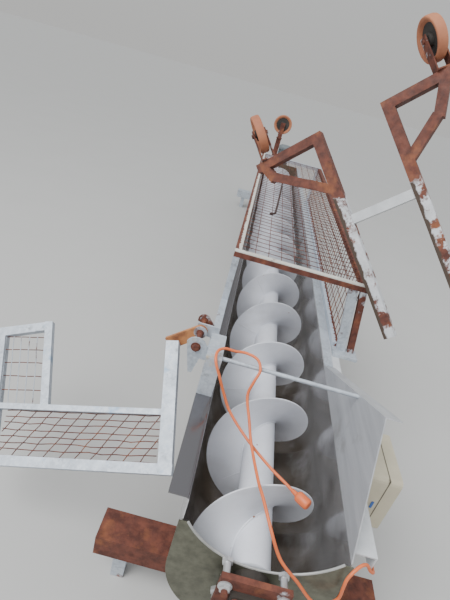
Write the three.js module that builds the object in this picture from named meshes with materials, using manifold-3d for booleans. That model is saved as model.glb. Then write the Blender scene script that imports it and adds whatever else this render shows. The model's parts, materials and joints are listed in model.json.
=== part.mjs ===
// Grape auger: an open screw conveyor in a sheet-steel trough, with a weldmesh guard over its far part,
// a hinged feed lid swung open to the left, and a castor frame carried at the guard's near corner.
// Millimetres, +Z up, +Y away from the feed end along the trough.
// The model is drawn about the shaft axis and then set so that the near left foot stands at the origin.

import * as THREE from 'three';
import { mergeVertices } from 'three/addons/utils/BufferGeometryUtils.js';
import Module from 'manifold-3d';

const wasm = await Module();
wasm.setup();

// Driving dimensions
const GAP = 0.3;
const AXIS_HEIGHT = 390;
const FOOT = { x: -330, y: 170 };

const SCREW = { tubeR: 50.8, flightR: 165, pitch: 345, thick: 5, sides: 20, start: 20, end: 4975, split: 2450, phase: 21.8 };
const SHAFT = { r: 25, nearEnd: -118, farEnd: 5120, tubeStart: 8, tubeEnd: 4992 };

const TROUGH = { half: 196, sheet: 3, length: 5000, seam: 2500, leftTop: 222, rightTop: 153, leftLip: 46, arcSteps: 20 };
const WALL_X = TROUGH.half + TROUGH.sheet;
const END_PLATE = { thick: 4, scoopR: 220, scoopZ: 270, shoulder: 145, holeR: 32 };
const WING = { farY: 792, peakY: 182, peakZ: 435, lip: 43 };
const WING_SLOPE = Math.atan2(WING.peakZ - TROUGH.rightTop, WING.farY - WING.peakY);
const RIGHT_RAIL = { width: 65.7, depth: 50, wall: 4, startY: 31, endY: 3400 };

const BEARING = { plateW: 164, plateTop: 85, plateLow: -95, plateY: -65, plateT: 15, studX: 68, studZ: 60, studR: 8 };
const SEAL = { r: 50, bore: 26 };

const HOOD = { tube: 25, y0: 911, y1: 3400, left: -248, right: 277, top: 458, lowerRight: 262, splay: 48 };
const MESH = { wire: 5, thick: 4, stepY: 240, stepX: 119, stepZ: 90 };

const TIE_ROD = { r: 6, y: 373, z: 340 };
const POST = { left: -245, right: -200, y0: 345, y1: 510, top: 350 };

// The lid's stiles stand out of square by these shares of the height
const LID = {
  width: 590, length: 416, top: 480, deep: 30, thin: 20, rail: 30, stile: 42, farStile: 34,
  innerLow: 171, innerTop: 189, innerStile: 385, innerWide: 27, lean: 0.063, skew: 0.205,
};
const HINGE = { x: -284, z: 270, pinR: 8, plateT: 6, nearPlateY: 500, tabY: 608, lugY: 670 };
const LID_OPEN = 197;
const LID_CORNER = { x: 46, y: 235, z: 267.2 };
const LID_SLOPE = THREE.MathUtils.degToRad(36);

const BOX = { x0: 265, seam: 330, x1: 368, y0: 249, y1: 451, z0: -10, z1: 185, round: 14 };

const BEAM = { x0: -410, x1: 430, wide: 100, deep: 75, wall: 6, near: 130, far: 4600 };
const LEG = { x: 330, size: 40 };

const FRAME = { tube: 40, legA: -12, rightA: 250, foot: -184, top: 622, rightTop: 605 };
const WHEEL = { r: 75, wide: 34, bore: 8.6, axle: 8, side: 5, clear: 5.5 };
const FAR_CASTOR = { x: -148, y: 3378, z: 717 };

const DRIVE = { boxY: 5030, boxL: 130, boxW: 190, boxTop: 110, boxLow: -120, motorR: 78, motorL: 250 };

// Materials
const paint = (color, roughness, metalness) => new THREE.MeshStandardMaterial({ color, roughness, metalness });
const STAINLESS = paint(0x77797b, 0.3, 0.9);
const WHITE = paint(0xc9cad2, 0.55, 0.1);
const GALVANISED = paint(0xb3bac2, 0.5, 0.6);
const RUST = paint(0x7a4230, 0.85, 0.1);
const WHEEL_TREAD = paint(0xb8673e, 0.7, 0);
const BEIGE = paint(0xcbbf9c, 0.5, 0);
const ORANGE = paint(0xe0693a, 0.5, 0);
const DARK = paint(0x3d3c3b, 0.5, 0.3);
const DRIVE_GREY = paint(0x6d7478, 0.5, 0.3);

const machine = new THREE.Group();
machine.position.set(-FOOT.x, -FOOT.y, AXIS_HEIGHT);

function place(name, geometry, material, parent = machine) {
  const mesh = new THREE.Mesh(geometry, material);
  mesh.name = name;
  parent.add(mesh);
  return mesh;
}

// Shapes
function block(x0, x1, y0, y1, z0, z1) {
  const g = new THREE.BoxGeometry(x1 - x0, y1 - y0, z1 - z0);
  return g.translate((x0 + x1) / 2, (y0 + y1) / 2, (z0 + z1) / 2);
}

function arc(cx, cy, r, from, to, steps) {
  const points = [];
  for (let i = 0; i <= steps; i += 1) {
    const a = THREE.MathUtils.degToRad(from + ((to - from) * i) / steps);
    points.push([cx + r * Math.cos(a), cy + r * Math.sin(a)]);
  }
  return points;
}

const ring = (cx, cy, r, sides) => arc(cx, cy, r, 0, 360, sides).slice(0, -1);

function outline(points, holes = []) {
  const shape = new THREE.Shape(points.map((p) => new THREE.Vector2(p[0], p[1])));
  holes.forEach((h) => shape.holes.push(new THREE.Path(h.map((p) => new THREE.Vector2(p[0], p[1])))));
  return shape;
}

function prism(shape, depth) {
  return new THREE.ExtrudeGeometry(shape, { depth, bevelEnabled: false, curveSegments: 8 });
}

// A section drawn in X and Z, run from y0 to y1
function alongY(points, y0, y1, holes = []) {
  return prism(outline(points, holes), y1 - y0).rotateX(Math.PI / 2).translate(0, y1, 0);
}

// Turns x and y into Y and Z, and z into X
const UPRIGHT = new THREE.Matrix4().makeBasis(
  new THREE.Vector3(0, 1, 0), new THREE.Vector3(0, 0, 1), new THREE.Vector3(1, 0, 0));

// A section drawn in Y and Z, run from x0 to x1
function alongX(points, x0, x1, holes = []) {
  return prism(outline(points, holes), x1 - x0).applyMatrix4(UPRIGHT).translate(x0, 0, 0);
}

// A section drawn in X and Y, run from z0 to z1
const alongZ = (points, z0, z1, holes = []) => prism(outline(points, holes), z1 - z0).translate(0, 0, z0);

function solid(geometry) {
  const bare = geometry.clone();
  bare.deleteAttribute('normal');
  bare.deleteAttribute('uv');
  const merged = mergeVertices(bare, 1e-4);
  return new wasm.Manifold(new wasm.Mesh({
    numProp: 3,
    vertProperties: new Float32Array(merged.attributes.position.array),
    triVerts: new Uint32Array(merged.index.array),
  }));
}

function geometryOf(body) {
  const mesh = body.asOriginal().simplify(0.001).getMesh();
  const geometry = new THREE.BufferGeometry();
  geometry.setAttribute('position', new THREE.BufferAttribute(new Float32Array(mesh.vertProperties), 3));
  geometry.setIndex(new THREE.BufferAttribute(new Uint32Array(mesh.triVerts), 1));
  return geometry;
}

const fuse = (...parts) => geometryOf(parts.map(solid).reduce((a, b) => a.add(b)));
const cut = (base, ...tools) => geometryOf(tools.map(solid).reduce((a, b) => a.subtract(b), solid(base)));

const rodAlongY = (x, z, r, y0, y1, sides = 16) => alongY(ring(x, z, r, sides), y0, y1);

// A flat panel of crossing wires, w wide and h high from the corner (0, 0), standing thick along z
function lattice(w, h, stepW, stepH, wire, thick) {
  const nw = Math.round(w / stepW);
  const nh = Math.round(h / stepH);
  const bars = [];
  for (let i = 0; i <= nw; i += 1) {
    const a = ((w - wire) * i) / nw;
    bars.push(block(a, a + wire, 0, h, 0, thick));
  }
  for (let j = 0; j <= nh; j += 1) {
    const b = ((h - wire) * j) / nh;
    bars.push(block(0, w, b, b + wire, 0, thick));
  }
  return fuse(...bars);
}

// Trough
function trough() {
  const { half, leftTop, rightTop, leftLip, sheet, arcSteps } = TROUGH;
  const section = [
    [-half - sheet - leftLip, leftTop], [-half - sheet - leftLip, leftTop - sheet],
    [-WALL_X, leftTop - sheet], ...arc(0, 0, WALL_X, 180, 360, arcSteps), [WALL_X, rightTop],
    [half, rightTop], ...arc(0, 0, half, 360, 180, arcSteps), [-half, leftTop],
  ];
  place('trough_shell', alongY(section, 0, TROUGH.seam), STAINLESS);
  place('trough_far_shell', alongY(section, TROUGH.seam + GAP, TROUGH.length), STAINLESS);
  place('right_flange', block(WALL_X + GAP, 232, WING.farY, TROUGH.length, rightTop + GAP,
    rightTop + GAP + sheet), STAINLESS);

  const { thick, scoopR, scoopZ, shoulder, holeR } = END_PLATE;
  const rimX = Math.sqrt(scoopR ** 2 - (scoopZ - shoulder) ** 2);
  const rimAngle = THREE.MathUtils.radToDeg(Math.atan2(shoulder - scoopZ, rimX));
  const plateR = WALL_X + 6;
  const under = arc(0, 0, plateR, 180, 360, arcSteps);
  const scoop = arc(0, scoopZ, scoopR, rimAngle, -180 - rimAngle, 12);
  const nearOutline = [...under, [plateR, shoulder], ...scoop, [-plateR, shoulder]];
  place('near_end_plate', alongY(nearOutline, -thick - GAP, -GAP, [ring(0, 0, holeR, 20)]), STAINLESS);
  const farOutline = [...under, [plateR, rightTop], [-plateR, rightTop]];
  place('far_end_plate', alongY(farOutline, TROUGH.length + GAP, TROUGH.length + GAP + thick,
    [ring(0, 0, holeR, 20)]), STAINLESS);
}

function wing() {
  const { farY, peakY, peakZ, lip } = WING;
  const base = TROUGH.rightTop + GAP;
  const sheet = TROUGH.sheet;
  const panel = alongX([[farY, base], [peakY, peakZ], [0, base]], TROUGH.half, WALL_X);
  const length = Math.hypot(farY - peakY, peakZ - TROUGH.rightTop);
  const fold = block(0, lip, 2, length, -sheet, 0).rotateX(-WING_SLOPE).translate(TROUGH.half, peakY, peakZ);
  const trimmed = cut(fold, block(0, lip * 8, farY - 40, farY + 40, 0, base));
  place('right_wing', fuse(panel, trimmed), STAINLESS);
}

// Screw, its flight in two welded lengths
const STEP_ANGLE = 360 / SCREW.sides;
const STEP_Y = SCREW.pitch / SCREW.sides;
const ZERO_Y = 215 + (SCREW.pitch * SCREW.phase) / 360;

function flight(startY, endY, lead = 0) {
  const { tubeR, flightR, thick } = SCREW;
  const first = Math.ceil((startY - ZERO_Y) / STEP_Y);
  const last = Math.floor((endY - ZERO_Y) / STEP_Y);
  const inner = tubeR + GAP;
  const vertices = [];
  const triangles = [];
  for (let k = first; k <= last; k += 1) {
    const turn = k === first ? k + lead : k;
    const a = THREE.MathUtils.degToRad(-turn * STEP_ANGLE);
    const y = ZERO_Y + turn * STEP_Y;
    [[inner, 0], [flightR, 0], [flightR, thick], [inner, thick]].forEach(([r, dy]) => {
      vertices.push(r * Math.cos(a), y + dy - thick / 2, r * Math.sin(a));
    });
  }
  const count = last - first;
  for (let i = 0; i < count; i += 1) {
    for (let j = 0; j < 4; j += 1) {
      const p = i * 4 + j;
      const q = i * 4 + ((j + 1) % 4);
      triangles.push(p, q + 4, q, p, p + 4, q + 4);
    }
  }
  const e = count * 4;
  triangles.push(0, 1, 2, 0, 2, 3, e, e + 2, e + 1, e, e + 3, e + 2);
  const geometry = new THREE.BufferGeometry();
  geometry.setAttribute('position', new THREE.Float32BufferAttribute(vertices, 3));
  geometry.setIndex(triangles);
  return geometry;
}

function screw() {
  const { tubeR, sides } = SCREW;
  const { r, nearEnd, farEnd, tubeStart, tubeEnd } = SHAFT;
  place('auger_tube', fuse(
    rodAlongY(0, 0, tubeR, tubeStart, tubeEnd, sides),
    rodAlongY(0, 0, r, nearEnd, tubeStart + 1, sides),
    rodAlongY(0, 0, r, tubeEnd - 1, farEnd, sides)), WHITE);
  place('auger_flight', flight(SCREW.start, SCREW.split), WHITE);
  place('auger_flight_far', flight(SCREW.split - STEP_Y, SCREW.end, 0.015), WHITE);
}

// Bearings and drive
function bearings() {
  const { plateW, plateTop, plateLow, plateY, plateT, studX, studZ, studR } = BEARING;
  const half = plateW / 2;
  const studEnd = -END_PLATE.thick - 2 * GAP;
  const plate = cut(block(-half, half, plateY, plateY + plateT, plateLow, plateTop),
    rodAlongY(0, 0, SEAL.bore, plateY - 1, plateY + plateT + 1, 20));
  const studs = [];
  [-studX, studX].forEach((x) => {
    [-studZ, studZ].forEach((z) => studs.push(rodAlongY(x, z, studR, plateY - 22, studEnd, 10)));
  });
  place('near_bearing_plate', fuse(plate, ...studs), RUST);
  const sealBore = [ring(0, 0, SEAL.bore, 20)];
  place('near_seal_housing', alongY(ring(0, 0, SEAL.r, 20), plateY + plateT + GAP,
    -END_PLATE.thick - 2 * GAP, sealBore), DARK);
  place('near_bearing', fuse(
    alongY(ring(0, 0, 48, 20), plateY - 34, plateY - GAP, sealBore),
    alongY([[-52, -52], [52, -52], [52, 52], [-52, 52]], plateY - 14, plateY - GAP, sealBore)), DARK);
  const farFace = TROUGH.length + END_PLATE.thick + 2 * GAP;
  return alongY(ring(0, 0, 60, 20), farFace, DRIVE.boxY + 1, sealBore);
}

function drive(farBearing) {
  const { boxY, boxL, boxW, boxTop, boxLow, motorR, motorL } = DRIVE;
  const half = boxW / 2;
  const box = cut(block(-half, half, boxY, boxY + boxL, boxLow, boxTop),
    rodAlongY(0, 0, SEAL.bore, boxY - 1, SHAFT.farEnd + 5, 20));
  place('gearbox', fuse(box, farBearing), DRIVE_GREY);
  place('drive_motor', alongZ(ring(0, boxY + boxL / 2, motorR, 20), boxTop + GAP, boxTop + motorL), DRIVE_GREY);
}

// Rails and guard
function rails() {
  const { width, depth, wall, startY, endY } = RIGHT_RAIL;
  const x0 = WALL_X + GAP;
  const x1 = WALL_X + width;
  const top = TROUGH.rightTop;
  place('right_rail', alongY([
    [x0, top], [x0, top - depth], [x0 + wall, top - depth], [x0 + wall, top - wall],
    [x1 - wall, top - wall], [x1 - wall, top - depth], [x1, top - depth], [x1, top],
  ], startY, endY), GALVANISED);
  place('left_rail', block(HOOD.left, HOOD.left + HOOD.tube, POST.y1 + 5, HOOD.y1,
    TROUGH.leftTop + GAP, TROUGH.leftTop + HOOD.tube), GALVANISED);
}

function hood() {
  const { tube, y0, y1, left, right, top, lowerRight, splay } = HOOD;
  const under = top - tube;
  const leftSeat = TROUGH.leftTop + tube + GAP;
  const rightSeat = TROUGH.rightTop + GAP;
  const yNear = y0 + tube;
  const yFar = y1 - tube;
  const footTop = rightSeat + 12;
  place('guard_near_rail', block(left, right, y0, yNear, under, top), RUST);
  place('guard_far_rail', block(left, right, yFar, y1, under, top), GALVANISED);
  place('guard_left_rail', block(left, left + tube, yNear + GAP, yFar - GAP, under, top), GALVANISED);
  place('guard_right_rail', block(right - tube, right, yNear + GAP, yFar - GAP, under, top), RUST);
  place('guard_lower_rail', block(lowerRight - tube, lowerRight, yNear + 5, y1, rightSeat,
    rightSeat + tube), GALVANISED);
  place('guard_near_left_leg', block(left, left + tube, y0, yNear, leftSeat, under - GAP), GALVANISED);
  place('guard_far_left_leg', block(left, left + tube, yFar, y1, leftSeat, under - GAP), GALVANISED);
  place('guard_far_right_leg', block(lowerRight - tube, lowerRight, yFar, y1, rightSeat + tube + GAP,
    under - GAP), GALVANISED);
  place('guard_foot_plate', block(WALL_X + 38, right + splay + 12, y0 - 40, yNear, rightSeat, footTop), GALVANISED);
  const leg = (x, w) => [[x, under - GAP], [x + splay, footTop + GAP], [x + splay + w, footTop + GAP],
    [x + w, under - GAP]];
  place('guard_near_right_leg', alongY(leg(right - tube, tube), y0, yNear), RUST);
  place('guard_near_right_stay', alongY(leg(right - 70, 36), y0 + 4, yNear - 4), GALVANISED);

  const run = yFar - yNear - 2 * GAP;
  const { wire, thick, stepX, stepY, stepZ } = MESH;
  const roof = lattice(right - left - 2 * tube - 2 * GAP, run, stepX, stepY, wire, thick);
  place('guard_top_mesh', roof.translate(left + tube + GAP, yNear + GAP, top - 6), RUST);
  const side = (x, low) => {
    const panel = lattice(run, under - GAP - low, stepY, stepZ, wire, thick);
    return panel.applyMatrix4(UPRIGHT).translate(x, yNear + GAP, low);
  };
  place('guard_right_mesh', side(254, rightSeat + tube + GAP), RUST);
  place('guard_left_mesh', side(left + 10, leftSeat), RUST);
}

// Tie rod, post and lid hinge
function post() {
  const { left, right, y0, y1, top } = POST;
  const base = TROUGH.leftTop + GAP;
  const { x, z, pinR, plateT, nearPlateY, tabY, lugY } = HINGE;
  const hole = ring(x, z, pinR + GAP, 16);
  place('tie_rod', alongX(ring(TIE_ROD.y, TIE_ROD.z, TIE_ROD.r, 12), right + GAP, TROUGH.half - GAP), GALVANISED);
  const body = alongX([[y0, base], [y1, base], [y1, top - 20], [y0 + 20, top], [y0, top]], left, right);
  const drop = [...arc(x, z, 33, 20, 160, 10), [x - 6, z - 100], [x + 6, z - 100]];
  const plate = alongY(drop, nearPlateY, nearPlateY + plateT, [hole]);
  const web = block(x + 20, left + 4, nearPlateY, nearPlateY + plateT + 2, z - 40, z + 10);
  place('lid_post', fuse(body, plate, web), GALVANISED);
  const seat = TROUGH.leftTop + HOOD.tube + GAP;
  const railX = HOOD.left + HOOD.tube - 2;
  const tab = [[x - 16, z - 18], [railX, seat], [railX, z + 22], [x - 16, z + 22]];
  place('lid_hinge_tab', alongY(tab, tabY, tabY + plateT, [hole]), GALVANISED);
  const lug = [...arc(x, z, 22, 20, 200, 10), [HOOD.left + 2, seat], [HOOD.left + 16, seat]];
  place('lid_hinge_lug', alongY(lug, lugY, lugY + plateT, [hole]), RUST);
  place('lid_hinge_pin', rodAlongY(x, z, pinR, nearPlateY - 12, lugY + plateT + 12, 16), RUST);
}

// The lid is drawn closed, hinge at its origin, then swung open
function lid() {
  const hinge = new THREE.Group();
  hinge.position.set(HINGE.x, 0, HINGE.z);
  hinge.rotation.y = THREE.MathUtils.degToRad(-LID_OPEN);
  const panel = new THREE.Group();
  panel.position.set(LID_CORNER.x, LID_CORNER.y, LID_CORNER.z);
  panel.rotation.x = -LID_SLOPE;
  hinge.add(panel);
  machine.add(hinge);

  const { width, length, top, deep, thin, rail, stile, farStile, innerLow, innerTop, innerStile, lean, skew } = LID;
  const innerLeft = innerStile + LID.innerWide;
  const bar = (x0, x1, y0, y1, tilt, depth) => alongZ(
    [[x0 + tilt * y0, y0], [x1 + tilt * y0, y0], [x1 + tilt * y1, y1], [x0 + tilt * y1, y1]], 0, depth);
  const head = [[innerStile + skew * top, top], [innerLeft + skew * (top - 34) - 1, top - 34],
    [width + skew * (top - 62), top - 62], [width + skew * (top - 30), top - 30]];
  place('lid_frame', fuse(
    block(0, width, 0, rail, 0, deep),
    bar(0, stile, 1, length, lean, deep),
    bar(width - farStile, width, 1, top - 31, skew, deep),
    block(stile, width, innerLow, innerTop, 0, thin),
    bar(innerStile, innerLeft, innerLow + 1, top - 1, skew, thin),
    alongZ(head, 0, thin)), GALVANISED, panel);

  const { wire, thick } = MESH;
  const low = rail + GAP;
  const stripX = stile + lean * innerLow + GAP;
  const strip = lattice(width - farStile + skew * low - GAP - stripX, innerLow - GAP - low, 77, 70, wire, thick);
  place('lid_lower_mesh', strip.translate(stripX, low, 8), RUST, panel);
  const start = innerTop + GAP;
  const upperHigh = top - 62 + 5 - start;
  const upper = lattice(width - farStile - innerLeft - 2 * GAP, upperHigh, 60, 68, wire, thick);
  upper.applyMatrix4(new THREE.Matrix4().set(1, skew, 0, 0, 0, 1, 0, 0, 0, 0, 1, 0, 0, 0, 0, 1));
  place('lid_upper_mesh', upper.translate(innerLeft + skew * start + GAP, start, 8), RUST, panel);

  const farEdge = LID_CORNER.y + length * Math.cos(LID_SLOPE) + deep * Math.sin(LID_SLOPE) + GAP;
  const endX = LID_CORNER.x + stile + lean * length;
  const endZ = LID_CORNER.z - length * Math.sin(LID_SLOPE) + deep * Math.cos(LID_SLOPE);
  const reach = Math.hypot(endX, endZ);
  const across = THREE.MathUtils.radToDeg(Math.atan2(endZ, endX));
  const arm = alongY([...arc(0, 0, 22, 90, 270, 10), [reach, -22], [reach, 22]], 0, 12, [ring(0, 0,
    HINGE.pinR + GAP, 16)]);
  arm.rotateY(THREE.MathUtils.degToRad(-across)).translate(0, farEdge, 0);
  place('lid_arm', arm, RUST, hinge);
}

// Enclosure on the right rail
function enclosure() {
  const { x0, seam, x1, y0, y1, z0, z1, round } = BOX;
  const corner = (cy, cz, a) => arc(cy, cz, round, a, a + 90, 3);
  const face = [
    ...corner(y1 - round, z1 - round, 0), ...corner(y0 + round, z1 - round, 90),
    ...corner(y0 + round, z0 + round, 180), ...corner(y1 - round, z0 + round, 270),
  ];
  place('enclosure_base', alongX(face, x0, seam), BEIGE);
  place('enclosure_lid', alongX(face, seam + GAP, x1), BEIGE);
}

// Cross-beams and legs
function base() {
  const { x0, x1, wide, deep, wall, near, far } = BEAM;
  const top = -WALL_X - GAP;
  [['near', near, RUST], ['far', far, GALVANISED]].forEach(([end, y, material]) => {
    place(`${end}_cross_beam`, alongX([
      [y, top], [y, top - deep], [y + wall, top - deep], [y + wall, top - wall],
      [y + wide - wall, top - wall], [y + wide - wall, top - deep], [y + wide, top - deep], [y + wide, top],
    ], x0, x1), material);
    const mid = y + FOOT.y - near;
    [['left', -LEG.x], ['right', LEG.x]].forEach(([side, x]) => {
      const h = LEG.size / 2;
      place(`${end}_${side}_leg`, block(x - h, x + h, mid - h, mid + h, -AXIS_HEIGHT, top - wall - GAP), GALVANISED);
    });
  });
}

// Castors: a fork whose crown stands on z = 0 and whose axle runs along x at the given height
function forkGeometry(height) {
  const { wide, axle, side, clear } = WHEEL;
  const inside = wide / 2 + clear;
  const outside = inside + side;
  return fuse(
    block(-outside, outside, -24, 24, 0, side),
    block(-outside, -inside, -18, 18, side - 1, height + 16),
    block(inside, outside, -18, 18, side - 1, height + 16),
    alongX(ring(0, height, axle, 16), -outside - 6, outside + 6));
}

const wheelGeometry = () => alongX(ring(0, 0, WHEEL.r, 24), -WHEEL.wide / 2, WHEEL.wide / 2,
  [ring(0, 0, WHEEL.bore, 16)]);

// The castor frame is flat: a runs across it and b along its legs, from the corner that it rests against
function castorFrame() {
  const along = new THREE.Vector3(-0.563, 0.435, 0.7).normalize();
  const across = new THREE.Vector3(0.749, -0.268, 0.6085);
  across.addScaledVector(along, -across.dot(along)).normalize();
  const normal = new THREE.Vector3().crossVectors(across, along);
  const frame = new THREE.Group();
  frame.quaternion.setFromRotationMatrix(new THREE.Matrix4().makeBasis(across, along, normal));
  frame.position.set(289.7, 880.2, 474);
  machine.add(frame);

  const { tube, legA, rightA, foot, top, rightTop } = FRAME;
  const h = tube / 2;
  const bar = (a0, b0, a1, b1, w) => {
    const length = Math.hypot(a1 - a0, b1 - b0);
    return block(0, length, -w / 2, w / 2, -h, h).rotateZ(Math.atan2(b1 - b0, a1 - a0)).translate(a0, b0, 0);
  };
  const slim = 34;
  place('castor_left_leg', fuse(
    block(legA - h, legA + h, foot, top, -h, h),
    block(legA - 262, legA, top - slim, top, -h, h),
    bar(legA, 393, -222, 548, slim),
    bar(-222, 536, -246, top - slim / 2, slim)), RUST, frame);
  place('castor_right_leg', fuse(
    block(rightA - h, rightA + h, foot, rightTop, -h, h),
    block(rightA, rightA + 222, rightTop - slim, rightTop, -h, h),
    bar(rightA, 380, 380, 480, slim),
    bar(380, 470, 442, rightTop - slim / 2, slim)), RUST, frame);
  place('castor_crossbar', block(legA + h + GAP, rightA - h - GAP, 252, 286, -h + 4, h - 4), GALVANISED, frame);

  [['left', -222, top, 112, 25], ['right', 440, rightTop, 112, 27]].forEach(([side, a, seat, height, turn]) => {
    const castor = new THREE.Group();
    castor.position.set(a, seat + GAP, 0);
    castor.rotation.x = -Math.PI / 2;
    const swivel = new THREE.Group();
    swivel.rotation.z = THREE.MathUtils.degToRad(turn);
    castor.add(swivel);
    frame.add(castor);
    place(`${side}_castor_fork`, forkGeometry(height), GALVANISED, swivel);
    place(`${side}_castor_wheel`, wheelGeometry(), WHEEL_TREAD, swivel).position.z = height;
  });
}

function farCastor() {
  const { x, y, z } = FAR_CASTOR;
  const height = 112;
  const seat = z - height;
  place('far_castor_post', block(x - 20, x + 20, y - 3, y + 22, HOOD.top + GAP, seat - GAP), RUST);
  const castor = new THREE.Group();
  castor.position.set(x, y + 9, seat);
  castor.rotation.z = Math.PI / 2;
  machine.add(castor);
  place('far_castor_fork', forkGeometry(height), GALVANISED, castor);
  place('far_castor_wheel', wheelGeometry(), WHEEL_TREAD, castor).position.z = height;
}

// Orange lead, from the enclosure round the near end, over the screw, to the post and back
const LEAD_R = 4;
const GLAND = { x: 300, z: 60, r: 10, long: 20 };
const LEAD_ROUTE = [
  [300, 228.7, 60], [300, 195, 60], [297, 130, 62], [293, 98, 68],
  [286, 64, 80], [273, 31, 104], [257, 20, 121], [240, 15, 144],
  [221, 3, 153], [203, -12, 147], [193, -21, 128], [194, -24, 100],
  [199, -22, 56], [182, -24, 30], [157, -27, 24], [134, -27, 37],
  [95, -23, 75], [58, -17, 104], [34, -7, 126], [5, 11, 169],
  [-24, 80, 189], [-38, 135, 183], [-66, 232, 198], [-84, 286, 228],
  [-105, 326, 275], [-99, 339, 318], [-90, 359, 345], [-103, 386, 360],
  [-136, 401, 361], [-169, 397, 360], [-201, 388, 365], [-218, 364, 364],
  [-215, 336, 349], [-194, 324, 313], [-170, 324, 264], [-138, 310, 217],
  [-78, 262, 185], [-12, 194, 179], [35, 156, 175], [52, 141, 174],
];
const PLUG = { start: [52, 141, 174], aim: [0.75, -0.66, 0.05], long: 55, r: 14 };

function lead() {
  const { x, z, r, long } = GLAND;
  place('lead_gland', rodAlongY(x, z, r, BOX.y0 - long, BOX.y0 - GAP, 12), DARK);
  const path = new THREE.CatmullRomCurve3(LEAD_ROUTE.map((p) => new THREE.Vector3(...p)));
  const section = outline(ring(0, 0, LEAD_R, 8));
  place('lead_run', new THREE.ExtrudeGeometry(section, { steps: 80, extrudePath: path, bevelEnabled: false }), ORANGE);
  const aim = new THREE.Vector3(...PLUG.aim).normalize();
  const body = alongZ(ring(0, 0, PLUG.r, 12), 0.7, PLUG.long);
  body.applyQuaternion(new THREE.Quaternion().setFromUnitVectors(new THREE.Vector3(0, 0, 1), aim));
  place('lead_plug', body.translate(...PLUG.start), ORANGE);
}

trough();
wing();
screw();
drive(bearings());
rails();
hood();
post();
lid();
enclosure();
base();
castorFrame();
farCastor();
lead();

export default machine;
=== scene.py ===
import json
import math
import random

import bmesh
import bpy
from mathutils import Matrix, Vector


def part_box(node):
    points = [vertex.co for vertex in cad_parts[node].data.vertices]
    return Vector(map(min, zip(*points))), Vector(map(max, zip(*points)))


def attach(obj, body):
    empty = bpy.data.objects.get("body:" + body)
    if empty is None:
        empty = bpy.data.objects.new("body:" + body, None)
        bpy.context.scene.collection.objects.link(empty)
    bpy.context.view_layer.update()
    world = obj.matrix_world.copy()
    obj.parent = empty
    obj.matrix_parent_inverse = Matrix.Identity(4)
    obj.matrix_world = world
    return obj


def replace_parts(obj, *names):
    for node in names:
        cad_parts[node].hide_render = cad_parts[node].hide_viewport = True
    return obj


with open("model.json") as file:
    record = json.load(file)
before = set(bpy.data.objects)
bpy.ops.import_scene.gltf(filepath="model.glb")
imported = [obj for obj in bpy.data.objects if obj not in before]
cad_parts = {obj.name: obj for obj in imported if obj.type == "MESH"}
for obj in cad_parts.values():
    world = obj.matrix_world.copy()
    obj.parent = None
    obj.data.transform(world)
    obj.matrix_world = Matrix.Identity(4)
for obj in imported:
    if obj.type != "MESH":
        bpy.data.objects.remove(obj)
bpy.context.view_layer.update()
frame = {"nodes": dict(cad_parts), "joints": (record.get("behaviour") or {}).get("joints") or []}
SEED = 11
rng = random.Random(SEED)

MM = 0.001
X = Vector((1, 0, 0))
Y = Vector((0, 1, 0))
Z = Vector((0, 0, 1))


# Places: in millimetres from the shaft's axis at the near end of the trough, X right, Y away, Z up
def middle(node, axis):
    """The middle of a CAD node's box along axis 0, 1 or 2, in metres."""
    low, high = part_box(node)
    return (low[axis] + high[axis]) / 2


PLATE_GAP = 0.0003
PLATE_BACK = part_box("near_end_plate")[1][1]
ORIGIN = Vector((middle("auger_tube", 0), PLATE_BACK + PLATE_GAP, middle("auger_tube", 2)))


def at(x, y, z):
    """A place in the part's own frame, in metres."""
    return ORIGIN + Vector((x, y, z)) * MM


# Camera, as the photograph was taken
EYE = (-245, -674, 1054)
VIEW_RIGHT = (0.963, 0.1168, 0.2432)
VIEW_UP = (-0.2697, 0.4394, 0.8569)
LENS = 27
SENSOR = 36


def camera():
    right = Vector(VIEW_RIGHT)
    up = Vector(VIEW_UP)
    back = right.cross(up).normalized()
    up = back.cross(right).normalized()
    right.normalize()
    data = bpy.data.cameras.new("view")
    data.lens = LENS
    data.sensor_width = SENSOR
    cam = bpy.data.objects.new("view", data)
    turn = Matrix((right, up, back)).transposed().to_4x4()
    cam.matrix_world = Matrix.Translation(at(*EYE)) @ turn
    bpy.context.collection.objects.link(cam)
    bpy.context.scene.camera = cam


camera()


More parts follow.
